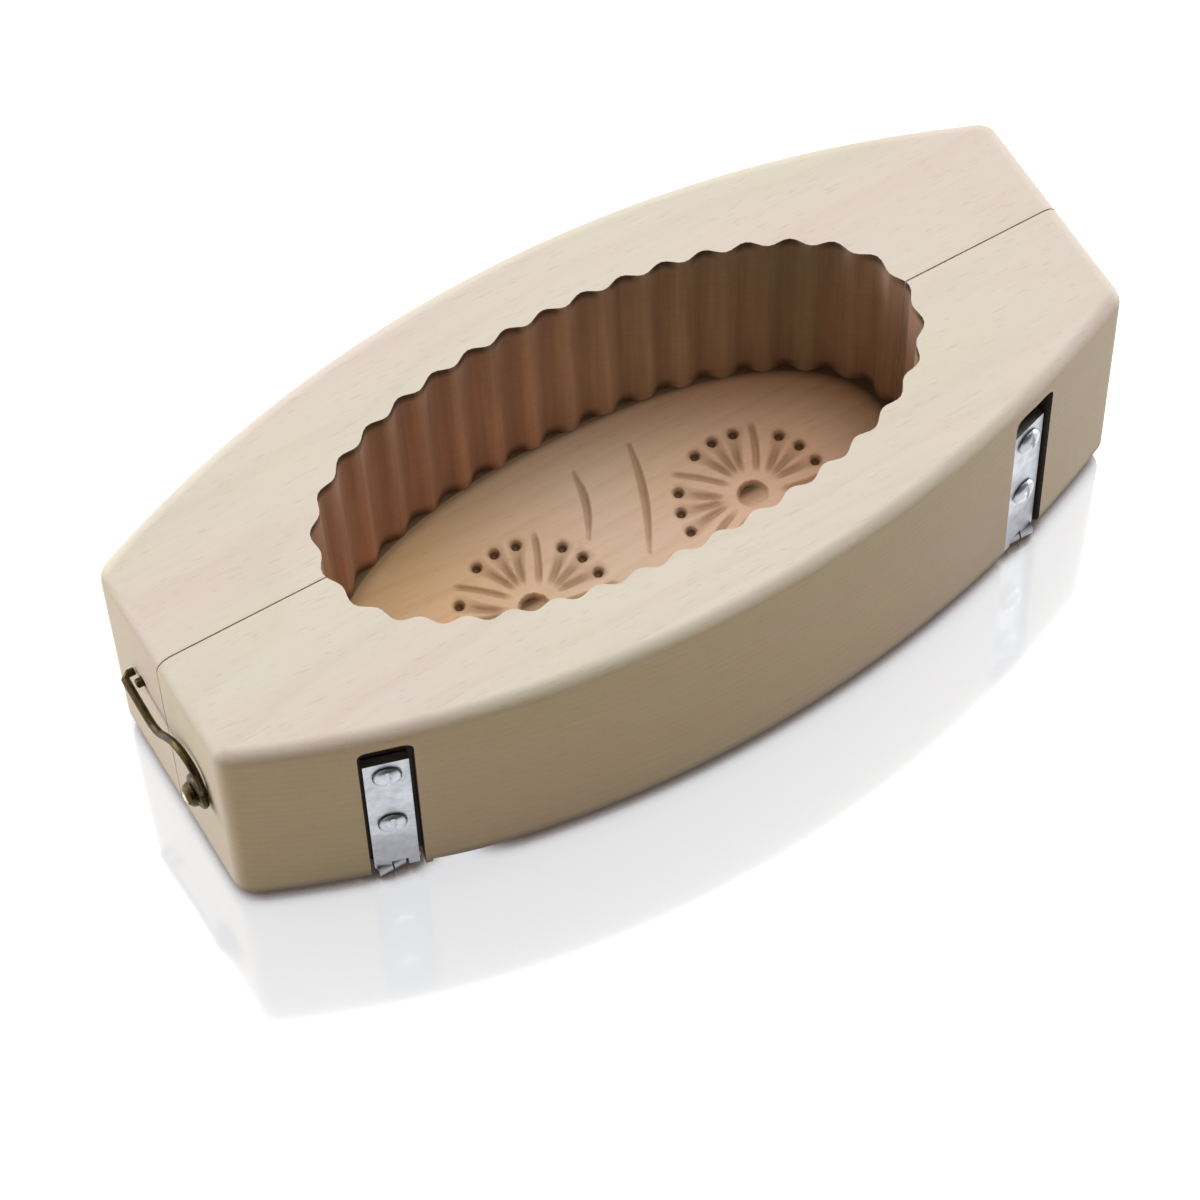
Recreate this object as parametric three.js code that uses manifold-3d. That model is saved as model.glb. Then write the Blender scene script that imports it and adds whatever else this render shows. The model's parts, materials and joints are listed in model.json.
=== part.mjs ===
// Butter mold: two fluted side pieces hinged to a carved base board and held shut by wire hooks.
// Lengths are in millimetres. +X runs along the mold, +Z points up and the front side faces -Y.
// The origin lies on the table, under the middle of the base board.

import * as THREE from 'three';
import { mergeVertices } from 'three/addons/utils/BufferGeometryUtils.js';
import Module from 'manifold-3d';

// Block: the two side pieces together, seen from above a lens with flat ends

const moldLength = 200;
const moldWidth = 92;
const endWidth = 48.5;
const wallHeight = 57;
const cornerRadius = 4;
const edgeRound = 3;
const partingGap = 0.3;

// Hollow for the butter, measured to the bottoms of the flutes: an oval a little fuller than an ellipse,
// carved slightly off the middle and askew

const endWall = 35.5;
const cavityWidth = 61.4;
const cavityPower = 2.2;
const cavityShift = 0.7;
const cavityTurn = -Math.PI * 0.005;
const cavityDraft = 0.8;
const fluteCount = 36;
const fluteDepth = 1.5;

// Base board, whose top is the floor of the hollow

const floorHeight = 12;
const boardMargin = 0.1;
const boardTaper = 5.8;
const boardEndMargin = 8;
const boardCorner = 6;
const boardGap = 0.4;

// Carving in the floor

const flowerSpacing = 50.6;
const flowerShift = 3.6;
const flowerDrop = 3.2;
const petalCount = 5;
const petalTurn = Math.PI * 0.515;
const petalReach = 15;
const lobeTurn = Math.PI * 0.1;
const dotRadius = 1.15;
const dotDepth = 1.6;
const grooveWidth = 1.5;
const grooveDepth = 0.7;
const grooveEndShare = 0.1;
const eyeBowlRadius = 3.1;
const eyeBowlDepth = 1.3;
const stemTipX = 7;
const stemTipY = 20;
const stemSpacing = 13;
const stemBend = 1.2;
const stemSlope = 0.39;
const leftStemLength = 15;
const rightStemLength = 24;

// Strap hinges

const hingeEndDistance = 29;
const hingeShift = 1.2;
const leafWidth = 9;
const leafThickness = 1.8;
const leafHeight = 43;
const slotSideGap = 0.95;
const slotTopWall = 5;
const slotCorner = 2;
const barrelRadius = 2.1;
const centreKnuckle = 2.6;
const pinRadius = 1;
const tableGap = 0.4;
const axisMargin = 0.7;
const pocketGap = 0.5;
const baseLeafLength = 25;

// Screws of the hinges: low round heads on the strap leaves, countersunk heads in the base leaves

const roundHeadRadius = 3;
const roundHeadHeight = 1.3;
const screwHeadRadius = 3;
const screwShankRadius = 1.4;
const screwSink = 0.8;
const screwTip = 2.5;
const strapScrewLength = 14;
const strapScrewEdge = 4.7;
const strapScrewPitch = 19;
const baseScrewLength = 10;
const baseScrewEdge = 4.5;
const baseScrewPitch = 10;
const driveWidth = 0.8;
const driveDepth = 0.6;

// Hooks on the ends

const wireRadius = 0.85;
const ringRadius = 3;
const pivotInset = 14;
const pivotHeight = 30;
const pivotHeadRadius = 2.7;
const pivotHeadHeight = 1.9;
const pivotShankRadius = 1.6;
const pivotScrewLength = 16;
const hookReach = 26.5;
const hookRise = 5.2;
const catchRadius = 1;
const catchStand = 1.5;
const catchLength = 12;
const catchPlay = 3.1;
const catchLift = 0.6;

// Relief planed under the front edge, beside the left slot

const reliefLength = 17;
const reliefHeight = 3.4;

// Clearances

const fitGap = 0.3;
const overrun = 5;
const mergeDistance = 0.0001;

// Sizes that follow from the ones above

const halfLength = moldLength / 2;
const halfWidth = moldWidth / 2;
const sideBow = halfWidth - endWidth / 2;
const sideRadius = (halfLength ** 2 + sideBow ** 2) / (2 * sideBow);
const plinthHeight = barrelRadius + tableGap;
const blockTop = plinthHeight + wallHeight;
const boardTop = plinthHeight + floorHeight;
const boardHalfWidth = cavityWidth / 2 + boardMargin;
const hingeX = halfLength - hingeEndDistance;
const hingeY = boardHalfWidth + axisMargin;
const boardHalfLength = hingeX + leafWidth / 2 + boardEndMargin;
const boardSideRadius = (hingeX ** 2 + boardTaper ** 2) / (2 * boardTaper);
const slotWidth = leafWidth + 2 * slotSideGap;
const slotTop = wallHeight - slotTopWall;
const leafBack = leafThickness - barrelRadius;
const eyeStand = fitGap + wireRadius;
const eyeTop = 2 * eyeStand;
const wireStand = catchStand + fitGap + wireRadius;
const pivotZ = plinthHeight + pivotHeight;
const tipY = hookReach - pivotInset;
const catchY = tipY - catchPlay;
const hookTipZ = pivotZ + hookRise;
const catchZ = hookTipZ + catchLift;

// Colours of the three materials

const paleWood = { color: 0xdccbb4, roughness: 0.62, metalness: 0 };
const floorWood = { color: 0xcdac87, roughness: 0.6, metalness: 0 };
const zinc = { color: 0xc9cdd3, roughness: 0.35, metalness: 1 };
const brass = { color: 0x6f5a2c, roughness: 0.42, metalness: 1 };

// Numbers of facets

const sideSteps = 24;
const cornerSteps = 4;
const edgeSteps = 3;
const fluteSteps = 8;
const ovalSteps = 72;
const roundSteps = 14;
const dotSteps = 7;
const domeSteps = 5;
const wireSteps = 8;
const hookSteps = 28;
const ringSteps = 20;
const arcSamples = 4000;

const wasm = await Module();
wasm.setup();

// Solids

function solidFrom(geometry) {
  const bare = new THREE.BufferGeometry();
  bare.setAttribute('position', geometry.getAttribute('position').clone());
  if (geometry.index) bare.setIndex(geometry.index.clone());
  const merged = mergeVertices(bare, mergeDistance);
  const corners = Array.from(merged.index.array);
  const kept = [];
  for (let i = 0; i < corners.length; i += 3) {
    const [a, b, c] = corners.slice(i, i + 3);
    if (a !== b && b !== c && c !== a) kept.push(a, b, c);
  }
  const vertProperties = new Float32Array(merged.getAttribute('position').array);
  return new wasm.Manifold(new wasm.Mesh({ numProp: 3, vertProperties, triVerts: new Uint32Array(kept) }));
}

function geometryFrom(solid) {
  const mesh = solid.getMesh();
  const geometry = new THREE.BufferGeometry();
  geometry.setAttribute('position', new THREE.BufferAttribute(new Float32Array(mesh.vertProperties), mesh.numProp));
  geometry.setIndex(new THREE.BufferAttribute(new Uint32Array(mesh.triVerts), 1));
  const flat = geometry.toNonIndexed();
  flat.computeVertexNormals();
  return flat;
}

function cutFrom(body, cutters) {
  let solid = body;
  for (const cutter of cutters) solid = solid.subtract(solidFrom(cutter));
  return solid;
}

function joined(geometries) {
  let solid = solidFrom(geometries[0]);
  for (const geometry of geometries.slice(1)) solid = solid.add(solidFrom(geometry));
  return solid;
}

// Outlines and simple bodies

function arcPoints(x, y, radius, start, end, steps) {
  const points = [];
  for (let i = 0; i <= steps; i += 1) {
    const angle = start + ((end - start) * i) / steps;
    points.push(new THREE.Vector2(x + radius * Math.cos(angle), y + radius * Math.sin(angle)));
  }
  return points;
}

// A lens with flat ends: two side arcs, rounded into the ends at the four corners
function lensOutline(endX, middleY, radius, corner) {
  const arcY = middleY - radius;
  const cornerX = endX - corner;
  const cornerY = arcY + Math.sqrt((radius - corner) ** 2 - cornerX ** 2);
  const turn = Math.atan2(cornerY - arcY, cornerX);
  return [
    ...arcPoints(cornerX, cornerY, corner, 0, turn, cornerSteps),
    ...arcPoints(0, arcY, radius, turn, Math.PI - turn, sideSteps).slice(1, -1),
    ...arcPoints(-cornerX, cornerY, corner, Math.PI - turn, Math.PI, cornerSteps),
    ...arcPoints(-cornerX, -cornerY, corner, Math.PI, Math.PI + turn, cornerSteps),
    ...arcPoints(0, -arcY, radius, Math.PI + turn, 2 * Math.PI - turn, sideSteps).slice(1, -1),
    ...arcPoints(cornerX, -cornerY, corner, 2 * Math.PI - turn, 2 * Math.PI, cornerSteps),
  ];
}

function prism(outline, low, high) {
  const shape = new THREE.Shape(outline);
  return new THREE.ExtrudeGeometry(shape, { depth: high - low, bevelEnabled: false }).translate(0, 0, low);
}

function box(low, high) {
  const size = new THREE.Vector3().subVectors(high, low);
  const middle = new THREE.Vector3().addVectors(low, high).divideScalar(2);
  return new THREE.BoxGeometry(size.x, size.y, size.z).translate(middle.x, middle.y, middle.z);
}

// A turned body whose axis is Z: each profile point is [radius, height], going up
function turned(profile, steps = roundSteps) {
  return new THREE.LatheGeometry(profile.map(([radius, height]) => new THREE.Vector2(radius, height)), steps)
    .rotateX(Math.PI / 2);
}

function rod(radius, low, high, steps = roundSteps) {
  return turned([[0, low], [radius, low], [radius, high], [0, high]], steps);
}

function rodAlongX(radius, low, high) {
  return rod(radius, low, high).rotateY(Math.PI / 2);
}

// A body through rings of points, closed by a fan at each end
function loft(rings) {
  const count = rings[0].length;
  const points = rings.flat();
  const middles = [rings[0], rings[rings.length - 1]].map((ring) => {
    const middle = new THREE.Vector3();
    for (const point of ring) middle.add(point);
    return middle.divideScalar(count);
  });
  const faces = [];
  for (let r = 0; r + 1 < rings.length; r += 1) {
    for (let i = 0; i < count; i += 1) {
      const a = r * count + i;
      const b = r * count + ((i + 1) % count);
      faces.push(a, b, b + count, a, b + count, a + count);
    }
  }
  const last = (rings.length - 1) * count;
  for (let i = 0; i < count; i += 1) {
    const next = (i + 1) % count;
    faces.push(points.length, next, i, points.length + 1, last + i, last + next);
  }
  const geometry = new THREE.BufferGeometry().setFromPoints([...points, ...middles]);
  geometry.setIndex(faces);
  return geometry;
}

// Fluted hollow

function oval(halfX, halfY) {
  const points = [];
  for (let i = 0; i < ovalSteps; i += 1) {
    const angle = (2 * Math.PI * i) / ovalSteps;
    const [x, y] = [Math.cos(angle), Math.sin(angle)].map(
      (share) => Math.sign(share) * Math.abs(share) ** (2 / cavityPower));
    points.push(new THREE.Vector3(halfX * x, halfY * y, 0));
  }
  return new THREE.CatmullRomCurve3(points, true);
}

// Outline of the flutes at a height: waves, alike and evenly spaced along the oval
function flutedRing(z) {
  const inset = (cavityDraft * (blockTop - z)) / (blockTop - boardTop);
  const ridges = oval(halfLength - endWall - fluteDepth - inset, cavityWidth / 2 - fluteDepth - inset);
  ridges.arcLengthDivisions = arcSamples;
  const ring = [];
  for (let flute = 0; flute < fluteCount; flute += 1) {
    for (let step = 0; step < fluteSteps; step += 1) {
      const share = step / fluteSteps;
      const place = ((flute + share) / fluteCount) % 1;
      const point = ridges.getPointAt(place);
      const tangent = ridges.getTangentAt(place);
      const out = (fluteDepth * (1 + Math.cos(2 * Math.PI * share))) / 2;
      ring.push(new THREE.Vector3(point.x + tangent.y * out, point.y - tangent.x * out, z));
    }
  }
  return ring;
}

function cavity() {
  return loft([flutedRing(boardTop - overrun), flutedRing(blockTop + overrun)])
    .rotateZ(cavityTurn)
    .translate(cavityShift, 0, 0);
}

// Base board

function boardBody(gap, low, high) {
  const outline = lensOutline(
    boardHalfLength + gap, boardHalfWidth + gap, boardSideRadius + gap, boardCorner + gap);
  return prism(outline, low, high);
}

// A V-shaped groove along a line of places on the floor, shallow and narrow at both ends
function groove(places, width, depth) {
  const curve = new THREE.CatmullRomCurve3(places);
  const steps = places.length;
  const rings = [];
  for (let i = 0; i <= steps; i += 1) {
    const share = i / steps;
    const swell = Math.sqrt(Math.max(Math.sin(Math.PI * share), grooveEndShare));
    const point = curve.getPoint(share);
    const tangent = curve.getTangent(share);
    const side = new THREE.Vector3(tangent.y, -tangent.x, 0).multiplyScalar(width * swell);
    const up = new THREE.Vector3(0, 0, depth * swell);
    const right = point.clone().add(side).add(up);
    const left = point.clone().sub(side).add(up);
    rings.push([right, point.clone().sub(up), left]);
  }
  return loft(rings);
}

function onFloor(centre, angle, reach) {
  return new THREE.Vector3(centre.x + reach * Math.cos(angle), centre.y + reach * Math.sin(angle), boardTop);
}

function drilledDot() {
  return turned([[0, -dotDepth], [dotRadius, -dotDepth / 3], [dotRadius, dotDepth], [0, dotDepth]], dotSteps);
}

// One flower: petals of three lobes, each lobe a groove from a drilled dot towards a round eye
function flowerCuts(centre) {
  const cuts = [];
  for (let petal = 0; petal < petalCount; petal += 1) {
    const middle = petalTurn + (2 * Math.PI * petal) / petalCount;
    for (const lobe of [-1, 0, 1]) {
      const angle = middle + lobe * lobeTurn;
      const dot = onFloor(centre, angle, petalReach);
      cuts.push(drilledDot().translate(dot.x, dot.y, dot.z));
      const inner = middle + (lobe * lobeTurn) / 2;
      const start = onFloor(centre, angle, petalReach - 2 * dotRadius);
      const bend = onFloor(centre, (angle + inner) / 2, (petalReach + eyeBowlRadius) / 2);
      const end = onFloor(centre, inner, 2 * eyeBowlRadius - grooveWidth);
      cuts.push(groove([start, bend, end], grooveWidth, grooveDepth));
    }
    const between = middle + Math.PI / petalCount;
    const leafTip = onFloor(centre, between + lobeTurn / 2, petalReach - dotRadius);
    const leafBend = onFloor(centre, between, (petalReach + eyeBowlRadius) / 2);
    const leafFoot = onFloor(centre, between, 2 * eyeBowlRadius);
    cuts.push(groove([leafTip, leafBend, leafFoot], grooveWidth, grooveDepth));
  }
  const bowlRadius = (eyeBowlRadius ** 2 + eyeBowlDepth ** 2) / (2 * eyeBowlDepth);
  cuts.push(new THREE.SphereGeometry(bowlRadius, roundSteps, roundSteps)
    .rotateX(Math.PI / 2)
    .translate(centre.x, centre.y, boardTop + bowlRadius - eyeBowlDepth));
  return cuts;
}

// A bowed groove from a tip near the back wall down between the flowers
function stemCut(side, length) {
  const places = [0, 1 / 4, 1 / 2, 3 / 4, 1].map((share) => new THREE.Vector3(
    stemTipX + (side * stemSpacing) / 2 - stemSlope * share * length + stemBend * Math.sin(Math.PI * share),
    stemTipY - share * length,
    boardTop,
  ));
  return groove(places, grooveWidth, grooveDepth);
}

// Hinges. Each is made about its own pin: X along the pin, -Y away from the mold, Z up from the pin.
// The strap leaf is flush with the front of the barrel, and turned to follow the bow of the side.

const hinges = [];
for (const sideSign of [-1, 1]) {
  for (const endSign of [-1, 1]) {
    const x = hingeShift + endSign * hingeX;
    hinges.push({
      name: `${sideSign < 0 ? 'front' : 'back'}_${endSign < 0 ? 'left' : 'right'}`,
      side: sideSign < 0 ? 'front' : 'back',
      turn: -sideSign * Math.asin(x / sideRadius),
      place: new THREE.Matrix4()
        .makeRotationZ(sideSign < 0 ? 0 : Math.PI)
        .setPosition(x, sideSign * hingeY, plinthHeight),
    });
  }
}

const strapScrewHeights = [leafHeight - strapScrewEdge, leafHeight - strapScrewEdge - strapScrewPitch];
const baseScrewDistances = [baseLeafLength - baseScrewEdge, baseLeafLength - baseScrewEdge - baseScrewPitch];

// A countersunk wood screw standing on Z, its head down at zero and its tip up
function screwBody(length) {
  const seat = screwHeadRadius - screwShankRadius;
  return turned([
    [0, 0],
    [screwHeadRadius, 0],
    [screwShankRadius, seat],
    [screwShankRadius, length - screwTip],
    [0, length],
  ]);
}

function screw(length) {
  const slot = box(
    new THREE.Vector3(-driveWidth / 2, -screwHeadRadius - overrun, -overrun),
    new THREE.Vector3(driveWidth / 2, screwHeadRadius + overrun, driveDepth));
  return geometryFrom(cutFrom(solidFrom(screwBody(length)), [slot]));
}

// The hole for such a screw: a countersink and a bore, both wider by the clearance
function screwHole(length) {
  const radius = screwShankRadius + fitGap;
  const head = screwHeadRadius + fitGap;
  return turned([
    [0, -overrun],
    [head, -overrun],
    [head, fitGap],
    [radius, fitGap + head - radius],
    [radius, length + fitGap],
    [0, length + fitGap],
  ]);
}

// A round-headed wood screw standing on Z: its head's flat side at zero, the dome down and the tip up
function roundScrew(length) {
  const profile = [];
  for (let i = 0; i <= domeSteps; i += 1) {
    const angle = (Math.PI / 2) * (i / domeSteps);
    profile.push([roundHeadRadius * Math.sin(angle), -roundHeadHeight * Math.cos(angle)]);
  }
  profile.push([screwShankRadius, 0], [screwShankRadius, length - screwTip], [0, length]);
  const slot = box(
    new THREE.Vector3(-driveWidth / 2, -roundHeadRadius - overrun, -roundHeadHeight - overrun),
    new THREE.Vector3(driveWidth / 2, roundHeadRadius + overrun, driveDepth - roundHeadHeight));
  return geometryFrom(cutFrom(solidFrom(turned(profile)), [slot]));
}

function strapScrewHole() {
  return rod(screwShankRadius + fitGap, -overrun, strapScrewLength + fitGap);
}

// A strap screw lies with its head outside: its Z is turned to point into the wood
function strapScrewPlace(hinge, height) {
  return new THREE.Matrix4()
    .makeRotationZ(hinge.turn)
    .multiply(new THREE.Matrix4().makeRotationX(-Math.PI / 2)
      .setPosition(0, -barrelRadius - fitGap, height));
}

function baseScrewPlace(distance) {
  return new THREE.Matrix4().makeTranslation(0, distance, -barrelRadius + screwSink);
}

function strapLeaf(hinge) {
  const plate = box(
    new THREE.Vector3(-leafWidth / 2, -barrelRadius, 0),
    new THREE.Vector3(leafWidth / 2, leafBack, leafHeight)).rotateZ(hinge.turn);
  const barrel = rodAlongX(barrelRadius, -leafWidth / 2, leafWidth / 2);
  const middle = centreKnuckle / 2 + fitGap;
  const notch = box(
    new THREE.Vector3(-middle, -overrun, -overrun),
    new THREE.Vector3(middle, overrun, barrelRadius + fitGap));
  const cuts = [notch, rodAlongX(pinRadius + fitGap, -leafWidth, leafWidth)];
  for (const height of strapScrewHeights) {
    cuts.push(strapScrewHole().applyMatrix4(strapScrewPlace(hinge, height)));
  }
  return geometryFrom(cutFrom(joined([plate, barrel]), cuts));
}

function baseLeaf() {
  const plate = box(
    new THREE.Vector3(-leafWidth / 2, 0, -barrelRadius),
    new THREE.Vector3(leafWidth / 2, baseLeafLength, leafThickness - barrelRadius));
  const knuckle = rodAlongX(barrelRadius, -centreKnuckle / 2, centreKnuckle / 2);
  const cuts = [rodAlongX(pinRadius + fitGap, -leafWidth, leafWidth)];
  for (const side of [-1, 1]) {
    const edge = rodAlongX(barrelRadius + fitGap, centreKnuckle / 2, leafWidth);
    cuts.push(side < 0 ? edge.rotateZ(Math.PI) : edge);
  }
  for (const distance of baseScrewDistances) {
    cuts.push(screwHole(baseScrewLength).applyMatrix4(baseScrewPlace(distance)));
  }
  return geometryFrom(cutFrom(joined([plate, knuckle]), cuts));
}

// The slot's upper corners are rounded by the tool that routed it
function slotBody() {
  const x = slotWidth / 2;
  const back = leafBack + fitGap;
  const outline = new THREE.Shape([
    new THREE.Vector2(-x, -plinthHeight - overrun),
    new THREE.Vector2(x, -plinthHeight - overrun),
    ...arcPoints(x - slotCorner, slotTop - slotCorner, slotCorner, 0, Math.PI / 2, edgeSteps),
    ...arcPoints(slotCorner - x, slotTop - slotCorner, slotCorner, Math.PI / 2, Math.PI, edgeSteps),
  ]);
  const depth = back - hingeY + halfWidth + overrun;
  return new THREE.ExtrudeGeometry(outline, { depth, bevelEnabled: false })
    .rotateX(Math.PI / 2).translate(0, back, 0);
}

// What a hinge takes out of its side piece: the slot, room for the barrel and the screw holes
function strapCuts(hinge) {
  const slot = slotBody().rotateZ(hinge.turn);
  const pocket = rodAlongX(barrelRadius + pocketGap, -slotWidth / 2, slotWidth / 2);
  const holes = strapScrewHeights.map(
    (height) => strapScrewHole().applyMatrix4(strapScrewPlace(hinge, height)));
  return [slot, pocket, ...holes].map((cut) => cut.applyMatrix4(hinge.place));
}

// What a hinge takes out of the base board: the seat of its leaf and the screw holes
function baseLeafCuts(hinge) {
  const seat = box(
    new THREE.Vector3(-leafWidth / 2 - fitGap, 0, -plinthHeight - overrun),
    new THREE.Vector3(leafWidth / 2 + fitGap, baseLeafLength + fitGap, leafThickness - barrelRadius + fitGap));
  const holes = baseScrewDistances.map(
    (distance) => screwHole(baseScrewLength).applyMatrix4(baseScrewPlace(distance)));
  return [seat, ...holes].map((cut) => cut.applyMatrix4(hinge.place));
}

function baseBoard() {
  const cuts = hinges.flatMap(baseLeafCuts);
  for (const side of [-1, 1]) {
    cuts.push(...flowerCuts(new THREE.Vector2(flowerShift + (side * flowerSpacing) / 2, -flowerDrop)));
  }
  cuts.push(stemCut(-1, leftStemLength), stemCut(1, rightStemLength));
  return geometryFrom(cutFrom(solidFrom(boardBody(0, 0, boardTop)), cuts));
}

// Side pieces

function block() {
  const shape = new THREE.Shape(lensOutline(halfLength, halfWidth, sideRadius, cornerRadius));
  return solidFrom(new THREE.ExtrudeGeometry(shape, {
    depth: wallHeight - 2 * edgeRound,
    bevelEnabled: true,
    bevelThickness: edgeRound,
    bevelSize: edgeRound,
    bevelOffset: -edgeRound,
    bevelSegments: edgeSteps,
  }).translate(0, 0, plinthHeight + edgeRound));
}

// The wedge planed off under the front edge, beside the left slot
function reliefCut() {
  const start = slotWidth / 2 + hingeShift - hingeX;
  const shape = [
    [start, -overrun],
    [start + reliefLength, -overrun],
    [start + reliefLength, 0],
    [start, reliefHeight],
  ].map(([x, z]) => new THREE.Vector2(x, z));
  return prism(shape, 0, halfWidth - hingeY - barrelRadius)
    .rotateX(Math.PI / 2)
    .translate(0, -hingeY - barrelRadius, plinthHeight);
}

function sidePiece(side) {
  const sign = side === 'front' ? -1 : 1;
  const keep = box(
    new THREE.Vector3(-moldLength, partingGap / 2, -overrun),
    new THREE.Vector3(moldLength, moldWidth, blockTop + overrun)).rotateZ(sign < 0 ? Math.PI : 0);
  const cuts = [
    cavity(),
    boardBody(boardGap, -overrun, boardTop + fitGap),
    ...hinges.filter((hinge) => hinge.side === side).flatMap(strapCuts),
    ...[-1, 1].map((end) => (side === 'front' ? pivotHole(end) : catchHole(end))),
  ];
  if (side === 'front') cuts.push(reliefCut());
  return geometryFrom(cutFrom(block().intersect(solidFrom(keep)), cuts));
}

// Hooks. A place on an end is given by its distance out from the end face, y and z.

function endPlace(end, out, y, z) {
  return new THREE.Vector3(end * (halfLength + out), y, z);
}

// A turned piece stood on an end face: its Z points out of the end
function onEnd(geometry, end, y, z) {
  const place = endPlace(end, 0, y, z);
  return geometry.rotateY((end * Math.PI) / 2).translate(place.x, place.y, place.z);
}

function pivotScrew(end) {
  const dome = [[pivotShankRadius, eyeTop]];
  for (let i = 0; i <= edgeSteps; i += 1) {
    const angle = (Math.PI / 2) * (i / edgeSteps);
    dome.push([pivotHeadRadius * Math.cos(angle), eyeTop + pivotHeadHeight * Math.sin(angle)]);
  }
  const profile = [
    [0, -pivotScrewLength],
    [pivotShankRadius, screwTip - pivotScrewLength],
    ...dome.slice(0, -1),
    [0, eyeTop + pivotHeadHeight],
  ];
  const slot = box(
    new THREE.Vector3(-driveWidth / 2, -pivotHeadRadius - overrun, eyeTop + pivotHeadHeight - driveDepth),
    new THREE.Vector3(driveWidth / 2, pivotHeadRadius + overrun, eyeTop + pivotHeadHeight + overrun));
  return onEnd(geometryFrom(cutFrom(solidFrom(turned(profile)), [slot])), end, -pivotInset, pivotZ);
}

function pivotHole(end) {
  return onEnd(rod(pivotShankRadius + fitGap, -pivotScrewLength - fitGap, overrun), end, -pivotInset, pivotZ);
}

function catchPost(end) {
  const profile = [
    [0, -catchLength],
    [catchRadius, screwTip - catchLength],
    [catchRadius, catchStand - fitGap],
    [catchRadius - fitGap, catchStand],
    [0, catchStand],
  ];
  return onEnd(geometryFrom(solidFrom(turned(profile))), end, catchY, catchZ);
}

function catchHole(end) {
  return onEnd(rod(catchRadius + fitGap, -catchLength - fitGap, overrun), end, catchY, catchZ);
}

// Shank of the hook, from its ring over a hump to the straight end above the catch.
// Each row: share of the reach, share of the rise, share of the step out from the end face.
const shankShares = [
  [-0.075, 0.45, 0],
  [-0.065, 1.15, 0],
  [0.01, 1.72, 0.1],
  [0.12, 1.92, 0.25],
  [0.25, 1.78, 0.4],
  [0.37, 1.32, 0.6],
  [0.47, 0.86, 0.8],
  [0.57, 0.76, 0.95],
  [0.7, 0.85, 1],
  [0.84, 0.93, 1],
  [0.94, 0.98, 1],
];

function wire(places, steps) {
  const circle = new THREE.Shape(arcPoints(0, 0, wireRadius, 0, 2 * Math.PI, wireSteps).slice(0, -1));
  const curve = new THREE.CatmullRomCurve3(places);
  return new THREE.ExtrudeGeometry(circle, { extrudePath: curve, steps, bevelEnabled: false });
}

function hook(end) {
  const step = wireStand - eyeStand;
  const places = shankShares.map(([reachShare, riseShare, outShare]) => endPlace(
    end, eyeStand + step * outShare, -pivotInset + reachShare * hookReach, pivotZ + riseShare * hookRise));
  const ring = onEnd(
    new THREE.TorusGeometry(ringRadius, wireRadius, wireSteps, ringSteps).translate(0, 0, eyeStand),
    end, -pivotInset, pivotZ);
  const corner = endPlace(end, wireStand - wireRadius / 2, tipY, hookTipZ);
  const tip = endPlace(end, fitGap, tipY, hookTipZ);
  const bend = [...places, endPlace(end, wireStand, tipY - wireRadius, hookTipZ), corner, tip];
  return geometryFrom(joined([wire(bend, hookSteps), ring]));
}

// Assembly

function piece(name, geometry, material) {
  const mesh = new THREE.Mesh(geometry, new THREE.MeshStandardMaterial(material));
  mesh.name = name;
  return mesh;
}

function placed(mesh, matrix) {
  mesh.applyMatrix4(matrix);
  return mesh;
}

const mold = new THREE.Group();
mold.add(piece('base_board', baseBoard(), floorWood));
for (const side of ['front', 'back']) mold.add(piece(`${side}_half`, sidePiece(side), paleWood));

for (const hinge of hinges) {
  const group = new THREE.Group();
  group.applyMatrix4(hinge.place);
  group.add(piece(`strap_leaf_${hinge.name}`, strapLeaf(hinge), zinc));
  group.add(piece(`base_leaf_${hinge.name}`, baseLeaf(), zinc));
  group.add(piece(`hinge_pin_${hinge.name}`, rodAlongX(pinRadius, -leafWidth / 2, leafWidth / 2), zinc));
  strapScrewHeights.forEach((height, i) => {
    const name = `strap_screw_${hinge.name}_${i ? 'lower' : 'upper'}`;
    group.add(placed(piece(name, roundScrew(strapScrewLength), zinc), strapScrewPlace(hinge, height)));
  });
  baseScrewDistances.forEach((distance, i) => {
    const name = `base_screw_${hinge.name}_${i ? 'outer' : 'inner'}`;
    group.add(placed(piece(name, screw(baseScrewLength), zinc), baseScrewPlace(distance)));
  });
  mold.add(group);
}

for (const end of [-1, 1]) {
  const name = end < 0 ? 'left' : 'right';
  mold.add(piece(`${name}_hook`, hook(end), brass));
  mold.add(piece(`hook_screw_${name}`, pivotScrew(end), brass));
  mold.add(piece(`catch_post_${name}`, catchPost(end), brass));
}

export default mold;
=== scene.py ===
import json
import math

import bmesh
import bpy
import numpy as np
from mathutils import Matrix, Vector

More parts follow.
